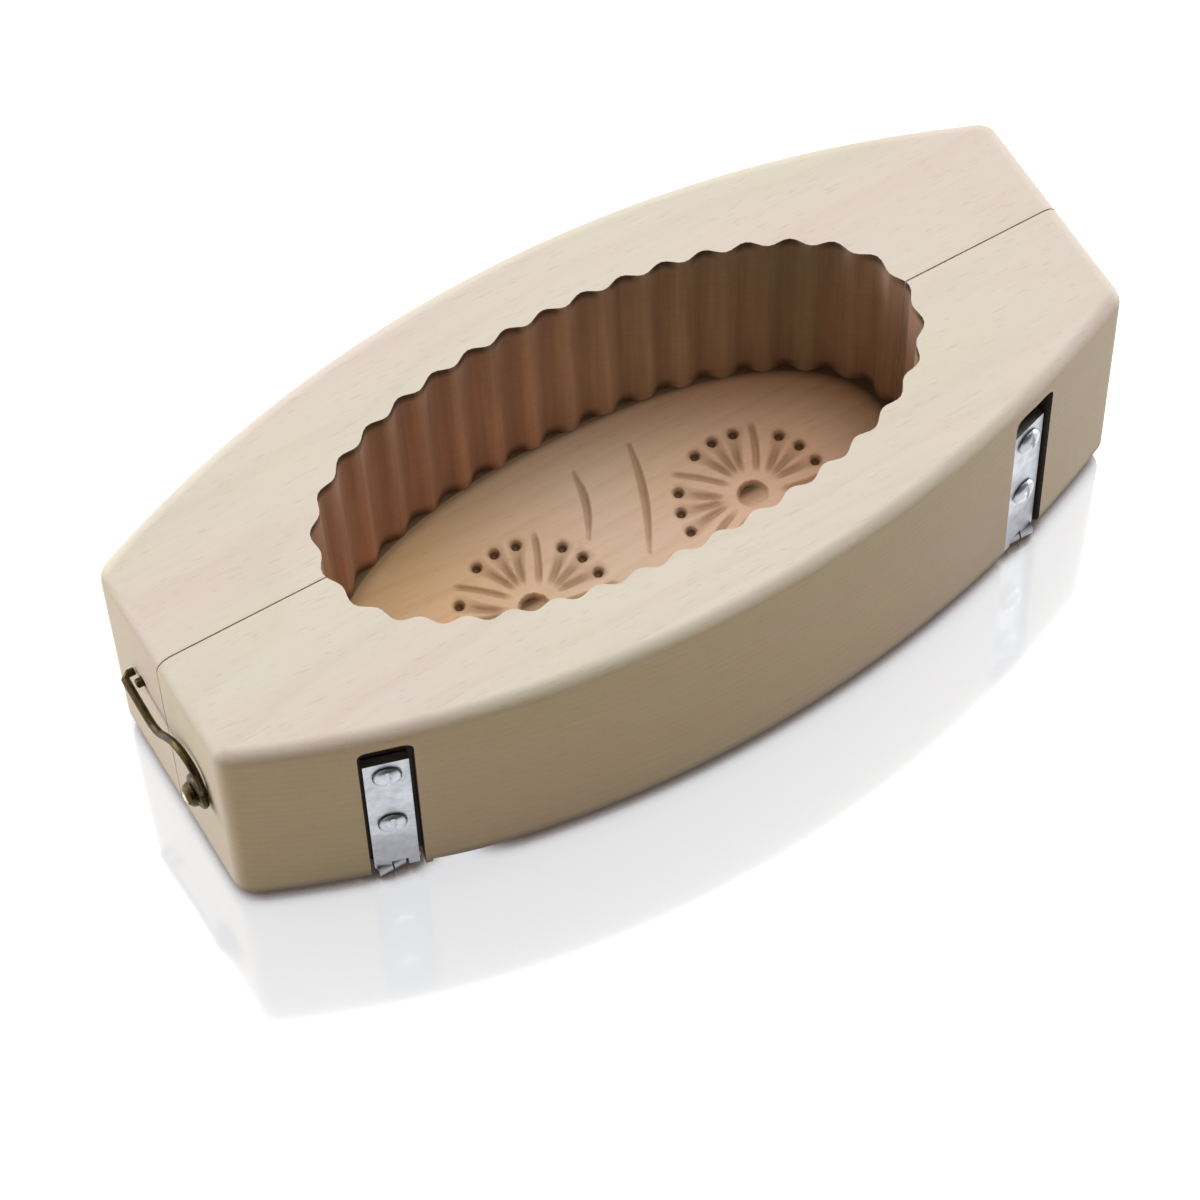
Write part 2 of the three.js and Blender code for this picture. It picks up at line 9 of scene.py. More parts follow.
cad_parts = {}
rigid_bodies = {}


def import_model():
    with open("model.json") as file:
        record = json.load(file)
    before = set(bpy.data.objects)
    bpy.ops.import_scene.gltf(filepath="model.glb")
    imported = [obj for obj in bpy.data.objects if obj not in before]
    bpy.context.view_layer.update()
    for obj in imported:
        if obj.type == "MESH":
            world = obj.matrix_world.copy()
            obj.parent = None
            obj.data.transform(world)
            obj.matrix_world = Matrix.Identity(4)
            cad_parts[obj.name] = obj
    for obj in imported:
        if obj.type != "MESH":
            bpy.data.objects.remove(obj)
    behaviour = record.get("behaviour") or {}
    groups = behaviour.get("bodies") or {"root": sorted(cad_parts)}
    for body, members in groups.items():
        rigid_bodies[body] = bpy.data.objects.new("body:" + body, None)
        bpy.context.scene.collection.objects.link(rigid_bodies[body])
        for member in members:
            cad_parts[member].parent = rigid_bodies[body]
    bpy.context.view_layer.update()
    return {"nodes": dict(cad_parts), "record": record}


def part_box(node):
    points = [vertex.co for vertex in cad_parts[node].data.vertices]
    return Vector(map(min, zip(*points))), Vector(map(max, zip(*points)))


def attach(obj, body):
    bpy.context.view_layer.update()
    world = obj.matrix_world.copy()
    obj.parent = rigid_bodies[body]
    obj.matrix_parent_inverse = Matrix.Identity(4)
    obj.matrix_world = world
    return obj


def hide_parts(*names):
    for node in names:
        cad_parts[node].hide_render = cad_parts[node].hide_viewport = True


for leftover in list(bpy.data.objects):
    bpy.data.objects.remove(leftover)

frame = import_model()
nodes = frame["nodes"]
body_of_node = {
    node: body
    for body, members in frame["record"]["behaviour"]["bodies"].items()
    for node in members
}
slot_of_node = {row["node"]: row["material_slot"] for row in frame["record"]["subparts"]}

MM = 0.001


# Sizes of the mold that the looks follow, in metres

BOARD_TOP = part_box("base_board")[1].z
BLOCK_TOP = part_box("front_half")[1].z
FOOT_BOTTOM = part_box("front_half")[0].z + 1.5 * MM
HOLLOW_HALF = (70 * MM, 35 * MM)  # an ellipse outside all flutes
RIDGES_HALF = (63 * MM, 29.2 * MM)  # the superellipse of the flutes' ridges at the mouth
RIDGES_POWER = 2.2
HOLLOW_SHIFT = 0.7 * MM
SIDE_RADIUS = 240.8 * MM
SLOT_HALF_WIDTH = 5.45 * MM
SLOT_TOP = BLOCK_TOP - 5 * MM
POCKET_RADIUS = 2.6 * MM

# Where the wood's tones, its darkening and its painted shades begin and where they are full.
# Bands are heights and places in metres.
# Reaches are what hollow_reach gives: 1 on the flutes' ridges at the mouth, more outside them.

FOOT_BAND = (FOOT_BOTTOM + 3.4 * MM, FOOT_BOTTOM)
FRONT_SHADE_BAND = (-10 * MM, 0.0)
CARVING_BAND = (BOARD_TOP - 0.12 * MM, BOARD_TOP - 1.6 * MM)
FLOOR_BAND = (BOARD_TOP - 3.2 * MM, BOARD_TOP - 2.6 * MM)
FLOOR_REACH = (1.12, 1.08)
JOINT_BAND = (-HOLLOW_HALF[0], 0.7 * HOLLOW_HALF[0])
JOINT_WALL_REACH = (0.82, 0.95)
JOINT_FLUTE_REACH = (0.95, 1.0)
GROOVE_REACH = (1.0, 1.09)
WALL_TAPER = 0.055  # what the wall loses of its reach from the mouth down to the floor
MOUTH_BAND = (BLOCK_TOP - 3 * MM, BLOCK_TOP - 1.2 * MM)
MOUTH_REACH = (0.99, 1.05)
FLUTE_FOOT_BAND = (BOARD_TOP + 3.5 * MM, BOARD_TOP + 1.05 * MM)
FLUTE_FOOT_REACH = (0.95, 1.01)
LOW_SHADE_BAND = (19 * MM, 13 * MM)
CROWN_BAND = (1.5 * MM, 0.8 * MM)


# Materials

# How fine each texture is along X, Y and Z, per metre, and its shift, which keeps it off the others

RING_WARP = ((9, 26, 26), (0, 0, 0))
FIBRES = ((45, 1100, 1100), (0, 0, 0))
FLECKS = ((260, 2300, 2300), (0.3, 0.1, 0.7))
STREAKS = ((7, 30, 30), (0.2, 0.5, 0.1))
PATCHES = ((24, 60, 60), (0.6, 0.2, 0.8))
TOOL_STROKES = ((480, 480, 16), (0.9, 0.4, 0.2))
SCRATCHES = ((2600, 2600, 160), (0.5, 0.2, 0.1))
PITS = ((1900, 1900, 1900), (0, 0, 0))
FLOOR_CLOUD = ((3, 3, 3), (0, 0, 0))

# What each texture makes of its values, as stops of a ramp

LATE_WOOD_RAMP = [(0.0, 0.0), (0.5, 0.12), (0.86, 1.0), (1.0, 0.0)]
FIBRE_RAMP = [(0.3, 0.0), (0.75, 1.0)]
FLECK_RAMP = [(0.0, 0.0), (0.63, 0.0), (0.74, 1.0), (1.0, 1.0)]
STREAK_RAMP = [(0.3, 0.0), (0.7, 1.0)]
PATCH_TINTS = [(0.38, (1.0, 0.955, 0.965)), (0.62, (0.97, 0.985, 0.92))]
FOOT_RAMP = [(0.0, 0.0), (0.45, 0.35), (0.9, 1.0), (1.0, 1.0)]
CARVING_RAMP = [(0.0, 0.0), (0.25, 0.34), (0.6, 0.62), (1.0, 0.7)]
DEEP_RAMP = [(0.0, 0.0), (0.56, 0.0), (0.85, 0.85), (1.0, 0.9)]
CLOUD_RAMP = [(0.32, 0.0), (0.68, 1.0)]

# How strongly each feature shows in the colour, the relief and the roughness

RING_WANDER = 9 * MM
WAVE_PER_RING = 2 * math.pi / 20  # the scale at which a wave texture has one ring per metre
STREAK_DEPTH = 0.36
FLECK_DEPTH = 0.16
GRAIN_RELIEF = 0.09 * MM
GRAIN_STRENGTH = 1.9
FIBRE_RISE, LATE_WOOD_RISE, FLECK_RISE = 0.7, -0.2, -0.5
STROKE_RELIEF = 0.3 * MM
STROKE_STRENGTH = 0.6
WOOD_ROUGHNESS, FIBRE_ROUGHNESS = 0.5, 0.16
WOOD_SPECULAR = 0.32
FOOT_UNEVENNESS = 0.4
JOINT_SHARES = (0.25, 0.85)  # of the painted shade along the wall's joint, from the left end on
JOINT_FLUTE_SHARE = 0.8
HOLLOW_SHARE, MOUTH_SHARE, FLUTE_FOOT_SHARE = 0.4, 0.85, 0.8
METAL_RELIEF = 0.05 * MM
METAL_STRENGTH = 0.5
SCRATCH_RISE, PIT_RISE = 0.5, 0.6
SCRATCH_ROUGHNESS, CLOUD_ROUGHNESS = 0.12, 0.3
CLOUD_LOOK = {"detail": 4.0, "roughness": 0.62}
LOW_SHADE_DARKNESS = 0.4
FLECK_DARKNESS = 0.5

# Painted shade along the block's foot
FOOT_SHADE = (0.13, 0.085, 0.065)
# The carving is drawn darker the deeper it is cut
CARVING_DARK = (0.2, 0.1, 0.032)
DEEP_CARVING_DARK = (0.08, 0.036, 0.013)
# Painted shade where the wall stands on the floor
JOINT_SHADE = (0.075, 0.045, 0.022)
# Painted shade under the rim, in the mouths of the flutes
MOUTH_SHADE = (0.05, 0.036, 0.024)
# Painted shade at the feet of the flutes
FLUTE_FOOT_SHADE = (0.1, 0.05, 0.022)
# A painted highlight on the hook screws' crowns
CROWN_HIGHLIGHT_COLOUR = (0.95, 0.86, 0.64)


class Tree:
    """The node tree of a material or world, built from the coordinates towards the shader."""

    def __init__(self, owner):
        self.owner = owner
        owner.use_nodes = True
        self.tree = owner.node_tree
        self.tree.nodes.clear()

    def node(self, kind, inputs=None, **settings):
        made = self.tree.nodes.new(kind)
        for key, value in settings.items():
            setattr(made, key, value)
        for key, value in (inputs or {}).items():
            self.feed(made.inputs[key], value)
        return made

    def feed(self, socket, value):
        """Links another node's output to the socket, or sets it. Colours are three numbers."""
        if isinstance(value, bpy.types.NodeSocket):
            self.tree.links.new(value, socket)
        elif socket.type == "RGBA":
            socket.default_value = (*value, 1)
        else:
            socket.default_value = value

    def place(self):
        return self.node("ShaderNodeTexCoord").outputs["Object"]

    def split(self, vector):
        return self.node("ShaderNodeSeparateXYZ", {"Vector": vector}).outputs

    def scaled(self, vector, scale, shift=(0, 0, 0)):
        inputs = {"Vector": vector, "Scale": scale, "Location": shift}
        return self.node("ShaderNodeMapping", inputs).outputs["Vector"]

    def noise(self, place, scale, shift, detail=2.0, roughness=0.5):
        inputs = {"Vector": self.scaled(place, scale, shift), "Scale": 1.0}
        inputs.update({"Detail": detail, "Roughness": roughness})
        return self.node("ShaderNodeTexNoise", inputs).outputs

    def ramp(self, value, stops):
        """Each stop is a position with a colour, or with one number for a grey."""
        made = self.node("ShaderNodeValToRGB", {"Fac": value})
        elements = made.color_ramp.elements
        while len(elements) < len(stops):
            elements.new(0.5)
        for element, (position, shade) in zip(elements, stops):
            element.position = position
            element.color = (*shade, 1) if isinstance(shade, tuple) else (shade, shade, shade, 1)
        return made.outputs["Color"]

    def span(self, value, start, end, low=0.0, high=1.0):
        """Even from low at start to high at end, and held there beyond them."""
        inputs = {"Value": value, "From Min": start, "From Max": end, "To Min": low, "To Max": high}
        return self.node("ShaderNodeMapRange", inputs).outputs["Result"]

    def mix(self, amount, first, second, blend="MIX"):
        inputs = {0: amount, 6: first, 7: second}
        return self.node("ShaderNodeMix", inputs, data_type="RGBA", blend_type=blend).outputs[2]

    def math(self, operation, first, second=0.0, third=0.0):
        inputs = {0: first, 1: second, 2: third}
        return self.node("ShaderNodeMath", inputs, operation=operation).outputs[0]

    def vector_math(self, operation, *vectors):
        inputs = dict(enumerate(vectors))
        return self.node("ShaderNodeVectorMath", inputs, operation=operation).outputs

    def bump(self, height, distance, strength, normal=None):
        inputs = {"Height": height, "Distance": distance, "Strength": strength}
        if normal is not None:
            inputs["Normal"] = normal
        return self.node("ShaderNodeBump", inputs).outputs["Normal"]

    def shader(self, kind, inputs):
        return self.node(kind, inputs).outputs[0]

    def shader_mix(self, amount, first, second):
        return self.shader("ShaderNodeMixShader", {0: amount, 1: first, 2: second})

    def finished(self, surface, output="ShaderNodeOutputMaterial"):
        self.node(output, {"Surface": surface})
        return self.owner


def late_wood(t, place, pith, ring_pitch):
    """1 on each ring's late wood and 0 between. The rings go round the pith, a line along X."""
    warp = t.noise(place, *RING_WARP)["Color"]
    from_pith = t.scaled(place, (1, 1, 1), (0, -pith[0], -pith[1]))
    drift = t.vector_math("MULTIPLY_ADD", warp, (0, RING_WANDER, RING_WANDER), from_pith)[0]
    inputs = {"Vector": drift, "Scale": WAVE_PER_RING / ring_pitch, "Distortion": 0.0}
    shape = {"wave_type": "RINGS", "rings_direction": "X", "wave_profile": "SAW"}
    rings = t.node("ShaderNodeTexWave", inputs, **shape).outputs["Fac"]
    return t.ramp(rings, LATE_WOOD_RAMP)


def hollow_reach(t, along, across):
    """1 on the ridges of the flutes at the mouth, more in their hollows and less further in."""
    shares = [
        t.math("DIVIDE", t.math("SUBTRACT", along, HOLLOW_SHIFT), RIDGES_HALF[0]),
        t.math("DIVIDE", across, RIDGES_HALF[1]),
    ]
    powers = [t.math("POWER", t.math("ABSOLUTE", share), RIDGES_POWER) for share in shares]
    return t.math("ADD", *powers)


def floor_darkening_and_shade(t, reach, along, height_above):
    """What darkens the floor of the hollow and its carving, as (how much, to which colour).

    The joint with the wall has painted shade, darkest in the flutes and at the right end.
    """
    depth = t.span(height_above, *CARVING_BAND)
    shallow = t.ramp(depth, CARVING_RAMP)
    deep = t.ramp(depth, DEEP_RAMP)
    # Painted shade at the joint of wall and floor, deepest at the right end and at the flutes' feet
    near_wall = t.span(reach, *JOINT_WALL_REACH)
    right = t.span(along, *JOINT_BAND, *JOINT_SHARES)
    by_wall = t.math("MULTIPLY", t.math("MULTIPLY", near_wall, near_wall), right)
    in_flutes = t.math("MULTIPLY", t.span(reach, *JOINT_FLUTE_REACH), JOINT_FLUTE_SHARE)
    joint_shade = t.math("MAXIMUM", by_wall, in_flutes)
    inside = t.math("MULTIPLY", t.span(reach, *FLOOR_REACH), t.span(height_above, *FLOOR_BAND))
    stains_and_shades = ((shallow, CARVING_DARK), (deep, DEEP_CARVING_DARK), (joint_shade, JOINT_SHADE))
    return [(t.math("MULTIPLY", amount, inside), darker_colour) for amount, darker_colour in stains_and_shades]


def flute_painted_shades(t, reach, height_above, hollow_shade):
    """Painted shade on the wall, in the same form: in the hollows of the flutes, all the way down
    and at their two ends.
    """
    taper = t.span(height_above, BOARD_TOP, BLOCK_TOP, WALL_TAPER, 0.0)
    hollows = t.span(t.math("ADD", reach, taper), *GROOVE_REACH)
    mouth = t.math("MULTIPLY", t.span(reach, *MOUTH_REACH), t.span(height_above, *MOUTH_BAND))
    low = t.span(height_above, *FLUTE_FOOT_BAND)
    foot_shade = t.math("MULTIPLY", t.span(reach, *FLUTE_FOOT_REACH), low)
    return [
        (t.math("MULTIPLY", hollows, HOLLOW_SHARE), hollow_shade),
        (t.math("MULTIPLY", mouth, MOUTH_SHARE), MOUTH_SHADE),
        (t.math("MULTIPLY", foot_shade, FLUTE_FOOT_SHARE), FLUTE_FOOT_SHADE),
    ]


def wood(
    name,
    pale,
    dark,
    pith,
    ring_pitch,
    ring_depth,
    fibre_depth=0.24,
    gouged=0.0,
    carved=False,
    foot_shade=0.0,
    tones_and_shade=None,
    front_shade_share=1.0,
):
    """Close-grained pale wood with its grain along X.

    The depths say how far rings and fibres darken it from pale to dark. Gouged says the same of
    the tool's strokes down the flutes, which also get painted shade, and foot of the painted shade
    at the block's foot. Carved wood is drawn darker the deeper its carving goes, and gets painted
    shade at its joint with the wall. Tones tint it along the hollow, partly as painted shade; in
    front they tint it only by a share, the last argument.
    """
    t = Tree(bpy.data.materials.new(name))
    place = t.place()
    along, across, height_above = t.split(place)
    late = late_wood(t, place, pith, ring_pitch)
    fibre = t.noise(place, *FIBRES, detail=3.0, roughness=0.6)["Fac"]
    fleck = t.noise(place, *FLECKS, detail=1.0)["Fac"]
    flecks = t.ramp(fleck, FLECK_RAMP)
    streaks = t.noise(place, *STREAKS, detail=3.0)["Fac"]

    shade = t.math("MULTIPLY", late, ring_depth)
    shade = t.math("MULTIPLY_ADD", t.ramp(fibre, FIBRE_RAMP), fibre_depth, shade)
    shade = t.math("MULTIPLY_ADD", t.ramp(streaks, STREAK_RAMP), STREAK_DEPTH, shade)
    colour = t.mix(t.math("MINIMUM", shade, 1.0), pale, dark)
    fleck_colour = tuple(FLECK_DARKNESS * channel for channel in dark)
    colour = t.mix(t.math("MULTIPLY", flecks, FLECK_DEPTH), colour, fleck_colour)
    patches = t.noise(place, *PATCHES)["Fac"]
    colour = t.mix(1.0, colour, t.ramp(patches, PATCH_TINTS), "MULTIPLY")
    # Tints along the hollow, which hold painted shade; in front they count only by a share
    if tones_and_shade:
        shade_tint = t.ramp(t.span(along, -HOLLOW_HALF[0], HOLLOW_HALF[0]), tones_and_shade)
        strength = t.span(across, *FRONT_SHADE_BAND, front_shade_share, 1.0)
        colour = t.mix(strength, colour, shade_tint, "MULTIPLY")

    relief = t.math("MULTIPLY", late, LATE_WOOD_RISE)
    relief = t.math("MULTIPLY_ADD", fibre, FIBRE_RISE, relief)
    relief = t.math("MULTIPLY_ADD", flecks, FLECK_RISE, relief)
    normal = t.bump(relief, GRAIN_RELIEF, GRAIN_STRENGTH * fibre_depth)
    stains_and_shades = []
    # Painted shade along the block's foot, darkest at its bottom edge
    if foot_shade:
        band = t.ramp(t.span(height_above, *FOOT_BAND), FOOT_RAMP)
        least = foot_shade - FOOT_UNEVENNESS / 2
        uneven = t.math("MULTIPLY_ADD", streaks, FOOT_UNEVENNESS, least)
        stains_and_shades.append((t.math("MULTIPLY", uneven, band), FOOT_SHADE))
    if carved:
        stains_and_shades += floor_darkening_and_shade(t, hollow_reach(t, along, across), along, height_above)
    if gouged:
        strokes = t.noise(place, *TOOL_STROKES)["Fac"]
        normal = t.bump(strokes, STROKE_RELIEF, STROKE_STRENGTH, normal)
        strokes = t.math("MULTIPLY", t.ramp(strokes, STREAK_RAMP), gouged)
        stains_and_shades.append((strokes, fleck_colour))
        # Painted shade in the flutes' hollows, under their mouths and at their feet
        stains_and_shades += flute_painted_shades(t, hollow_reach(t, along, across), height_above, fleck_colour)
    for amount, darker_colour in stains_and_shades:
        colour = t.mix(amount, colour, darker_colour)
    rough = t.math("MULTIPLY_ADD", fibre, FIBRE_ROUGHNESS, WOOD_ROUGHNESS)
    inputs = {"Base Color": colour, "Roughness": rough, "Normal": normal}
    inputs["Specular IOR Level"] = WOOD_SPECULAR
    return t.finished(t.shader("ShaderNodeBsdfPrincipled", inputs))


def metal(name, bright, dull, roughness, cloud_scale, low_shade=0.0, crown=None):
    """A plated or darkened metal: cloudy, scratched and pitted. Roughness is its least.

    It is drawn darker low down as painted shade, and bright round the line along X through crown
    as a painted highlight.
    """
    t = Tree(bpy.data.materials.new(name))
    place = t.place()
    cloud = t.noise(place, (cloud_scale,) * 3, (0, 0, 0), **CLOUD_LOOK)["Fac"]
    scratch = t.noise(place, *SCRATCHES)["Fac"]
    pits = t.noise(place, *PITS, detail=1.0)["Fac"]
    colour = t.mix(t.ramp(cloud, CLOUD_RAMP), bright, dull)
    # Painted shade: darker low down
    if low_shade:
        low = t.span(t.split(place)["Z"], *LOW_SHADE_BAND)
        low_shade_colour = tuple(LOW_SHADE_DARKNESS * channel for channel in dull)
        colour = t.mix(t.math("MULTIPLY", low, low_shade), colour, low_shade_colour)
    # A painted highlight: bright brass round the crown of the dome
    if crown:
        middle = t.scaled(place, (0, 1, 1), (0, -crown[0], -crown[1]))
        away = t.vector_math("LENGTH", middle)["Value"]
        colour = t.mix(t.span(away, *CROWN_BAND), colour, CROWN_HIGHLIGHT_COLOUR)
    rough = t.math("MULTIPLY_ADD", scratch, SCRATCH_ROUGHNESS, roughness)
    rough = t.math("MULTIPLY_ADD", cloud, CLOUD_ROUGHNESS, rough)
    relief = t.math("MULTIPLY", pits, PIT_RISE)
    relief = t.math("MULTIPLY_ADD", scratch, SCRATCH_RISE, relief)
    normal = t.bump(relief, METAL_RELIEF, METAL_STRENGTH)
    inputs = {"Base Color": colour, "Metallic": 1.0, "Roughness": rough, "Normal": normal}
    return t.finished(t.shader("ShaderNodeBsdfPrincipled", inputs))


BLOCK_GRAIN = {"pith": (9 * MM, -46 * MM), "ring_pitch": 2.1 * MM}
BOARD_GRAIN = {"pith": (-22 * MM, 74 * MM), "ring_pitch": 2.6 * MM}

# Tints along the hollow, from its left end at 0 to its right end at 1. The wall's tints are
# painted shade, darker and greener towards its right end.

WALL_SHADE_TONES = [
    (0.2, (1.0, 0.96, 0.98)),
    (0.46, (0.94, 0.95, 0.98)),
    (0.68, (0.77, 0.96, 0.92)),
    (0.88, (0.58, 0.78, 0.72)),
    (0.97, (0.84, 0.88, 0.87)),
]
# The floor's tints: yellower at the left, and darker and redder at the right end as painted shade
FLOOR_TONES_AND_SHADE = [(0.22, (0.93, 0.86, 0.68)), (0.5, (0.95, 0.95, 0.97)), (0.8, (0.96, 0.83, 0.73))]

# The block's wood, with painted shade along its foot
PALE_WOOD = wood(
    "pale_wood",
    (0.8, 0.725, 0.64),
    (0.71, 0.61, 0.5),
    **BLOCK_GRAIN,
    ring_depth=0.24,
    fibre_depth=0.2,
    foot_shade=0.8,
)
# Near-black wood for the hinges' slots: painted shade, as the slots lie deep in shadow
SLOT_SHADE_WOOD = wood(
    "slot_shade_wood",
    (0.07, 0.05, 0.032),
    (0.025, 0.017, 0.011),
    **BLOCK_GRAIN,
    ring_depth=0.3,
)
# The hollow's wall: the block's wood drawn darker and redder as painted shade and painted warm
# bounce light, with more painted shade in its flutes and along the hollow
FLUTED_SHADED_WOOD = wood(
    "fluted_wood_painted_shade",
    (0.78, 0.51, 0.375),
    (0.49, 0.29, 0.2),
    **BLOCK_GRAIN,
    ring_depth=0.1,
    fibre_depth=0.1,
    gouged=0.42,
    tones_and_shade=WALL_SHADE_TONES,
    front_shade_share=0.3,
)
FLOOR_WOOD = wood(
    "floor_wood",
    (0.87, 0.7, 0.52),
    (0.74, 0.54, 0.36),
    **BOARD_GRAIN,
    ring_depth=0.26,
    carved=True,
    tones_and_shade=FLOOR_TONES_AND_SHADE,
)
# Zinc-plated steel, with painted shade low down on the hinge leaves
ZINC = metal("zinc_steel", (0.86, 0.87, 0.91), (0.63, 0.65, 0.69), 0.18, 420, low_shade=0.55)
BRASS_LOOK = ((0.1, 0.07, 0.028), (0.045, 0.032, 0.014), 0.16, 700)
BRASS = metal("brass", *BRASS_LOOK)
SCREW_MIDDLE = sum(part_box("hook_screw_left"), Vector()) / 2
# Brass with a painted highlight on the hook screws' crowns
CROWN_HIGHLIGHT_BRASS = metal("brass_crown_highlight", *BRASS_LOOK, crown=(SCREW_MIDDLE.y, SCREW_MIDDLE.z))
METALS = {"zinc_steel": ZINC, "brass": BRASS}


# Pieces: each stands for its CAD node, with merged facets, rounded edges and smooth curves

WELD = 0.002 * MM
CARVING_WELD = 0.004 * MM
FLAT_ANGLE = 0.3  # in degrees, as are the angles below
SHARP, METAL_SHARP, CARVING_SHARP = 35, 32, 38
SIDE_EDGE = {"width": 0.35 * MM, "segments": 2, "angle": 40}
METAL_EDGE = {"width": 0.12 * MM, "segments": 1, "angle": 50}
WALL_STEEPNESS = 0.5  # the most that a wall's normal points up or down
WALL_FOOT = BOARD_TOP - 2 * MM
SLOT_END = SLOT_TOP + 0.1 * MM
SLOT_BACK = 0.5 * MM
SLOT_REACH = 1.01 * SLOT_HALF_WIDTH
POCKET_REACH = 1.02 * POCKET_RADIUS


def linked(name, data):
    """A new object of the scene."""
    thing = bpy.data.objects.new(name, data)
    bpy.context.scene.collection.objects.link(thing)
    return thing


def merged(node):
    """The node's surface with its flat faces made whole."""
    source = nodes[node].data
    surface = bmesh.new()
    corners = [surface.verts.new(vertex.co) for vertex in source.vertices]
    for polygon in source.polygons:
        surface.faces.new([corners[i] for i in polygon.vertices])
    bmesh.ops.remove_doubles(surface, verts=surface.verts, dist=WELD)
    bmesh.ops.dissolve_degenerate(surface, edges=surface.edges, dist=WELD)
    bmesh.ops.dissolve_limit(
        surface,
        angle_limit=math.radians(FLAT_ANGLE),
        verts=surface.verts,
        edges=surface.edges,
        use_dissolve_boundaries=False,
    )
    return surface


def made(name, surface, sharp=SHARP):
    """An object of the surface, shaded smooth across edges that turn less than sharp."""
    for face in surface.faces:
        face.smooth = True
    for edge in surface.edges:
        if len(edge.link_faces) != 2 or edge.calc_face_angle() > math.radians(sharp):
            edge.smooth = False
    mesh = bpy.data.meshes.new(name)
    surface.to_mesh(mesh)
    surface.free()
    return linked(name, mesh)


def dressed(piece, node, *materials):
    """Gives the piece its materials and the place of its node."""
    for material in materials:
        piece.data.materials.append(material)
    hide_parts(node)
    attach(piece, body_of_node[node])


def flat_shaded(piece):
    """Lets large faces look flat up to their edges."""
    normals = piece.modifiers.new("flat_faces", "WEIGHTED_NORMAL")
    normals.keep_sharp = True


def softened(piece, width, segments, angle):
    """Rounds the edges that turn more than angle."""
    bevel = piece.modifiers.new("soft_edges", "BEVEL")
    bevel.width = width
    bevel.segments = segments
    bevel.limit_method = "ANGLE"
    bevel.angle_limit = math.radians(angle)
    bevel.harden_normals = True
    bevel.use_clamp_overlap = True
    bevel.miter_outer = "MITER_ARC"
    flat_shaded(piece)


def fluted(face):
    """True for a face of the hollow's wall."""
    centre = face.calc_center_median()
    reach = (centre.x / HOLLOW_HALF[0]) ** 2 + (centre.y / HOLLOW_HALF[1]) ** 2
    return reach < 1 and abs(face.normal.z) < WALL_STEEPNESS and centre.z > WALL_FOOT


def routed(face, pins):
    """True for a face in a hinge's slot, turned with the side's bow, or in its barrel's pocket."""
    centre = face.calc_center_median()
    if any(corner.co.z > SLOT_END for corner in face.verts):
        return False
    for low, high in pins:
        pin = (low + high) / 2
        away = centre - pin
        outward = math.copysign(1, pin.y)
        turn = math.asin(pin.x / SIDE_RADIUS)
        across = away.x * math.cos(turn) - outward * away.y * math.sin(turn)
        out = away.x * math.sin(turn) + outward * away.y * math.cos(turn)
        in_slot = abs(across) < SLOT_REACH and out > -SLOT_BACK
        in_pocket = abs(away.x) < SLOT_REACH and math.hypot(away.y, away.z) < POCKET_REACH
        if in_slot or in_pocket:
            return True
    return False


def side_piece(side):
    node = f"{side}_half"
    surface = merged(node)
    pins = [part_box(f"hinge_pin_{side}_{end}") for end in ("left", "right")]
    for face in surface.faces:
        # The wall's faces, index 1, and the slots' faces, index 2, take woods drawn with painted
        # shade
        face.material_index = 1 if fluted(face) else 2 if routed(face, pins) else 0
    piece = made(f"{side}_side", surface)
    dressed(piece, node, PALE_WOOD, FLUTED_SHADED_WOOD, SLOT_SHADE_WOOD)
    softened(piece, **SIDE_EDGE)


def metal_piece(node):
    piece = made(f"{node}_fine", merged(node), METAL_SHARP)
    highlighted = node.startswith("hook_screw")
    dressed(piece, node, CROWN_HIGHLIGHT_BRASS if highlighted else METALS[slot_of_node[node]])
    softened(piece, **METAL_EDGE)


# Carving in the base board, in millimetres from the middle of the hollow or of a flower.
# A run is where a cut starts, is full, fades and ends. A power shapes a cut's flanks.

FLOWER_PLACES = ((-21.7, -3.2), (28.9, -3.2))
PETALS = 5
PETAL_TURN = math.pi * 0.515
PETAL_START = 5
PETAL_REACH = 15.0
LOBE_TURN = math.pi * 0.1
LOBE_TURN_SHARES = (0.55, 0.45)  # at the petal's start, and what it gains to its end
SCOOP_DEPTH = 0.5
SCOOP_HALVES = (0.7, 1.65)  # the same for the half width
SCOOP_RUN = (4.4, 9.0, PETAL_REACH + 0.6, PETAL_REACH + 2.4)
STROKE_DEPTH = 0.5
STROKE_HALF = 0.85
STROKE_POWER = 1.5
STROKE_RUN = (5.0, 8.0, 10.5, 14.0)
DOT_DEPTH = 1.9
DOT_RADIUS = 1.28
DOT_POWER = 0.7
VEIN_DEPTH = 0.85
VEIN_HALF = 0.9
VEIN_POWER = 1.3
VEIN_RUN = (4.2, 8.0, PETAL_REACH + 0.5, PETAL_REACH + 3.0)
VEIN_BEND = 0.06 / 5  # in radians per millimetre beyond its middle
VEIN_MIDDLE = 11
EYE_RADIUS = 3.3
EYE_DEPTH = 1.7
EYE_EDGE = 0.7
EYE_POWER = 0.6
BITE_SHARES = (0.58, 0.5)  # of the eye's depth at its middle, and what it gains to its far edge
BITE_POWER = 1.4
STEMS = (((0.5, 20.0), (-4.6, 5.0), 1.2), ((13.5, 20.0), (4.2, -4.0), 1.2))  # two ends and the bow
STEM_DEPTH = 0.9  # per millimetre of its half width
STEM_HALVES = (0.3, 0.75)  # at its ends, and what it gains to its middle
STEM_ENDS = (0.06, 0.94)
STEM_POWER = 1.3
STEM_LEAN = 0.93

# The height field of the carving: stretches of (start, end, step), and how far it clears bare floor
FIELD_X = ((-41, -2.5, 0.3), (-2.5, 9.5, 0.35), (9.5, 48, 0.3), (48, 48.6, 0.3))
FIELD_Y = ((-22.5, 15.5, 0.3), (15.5, 22, 0.45))
FIELD_LIFT = 0.02
FIELD_HEIGHT = 3

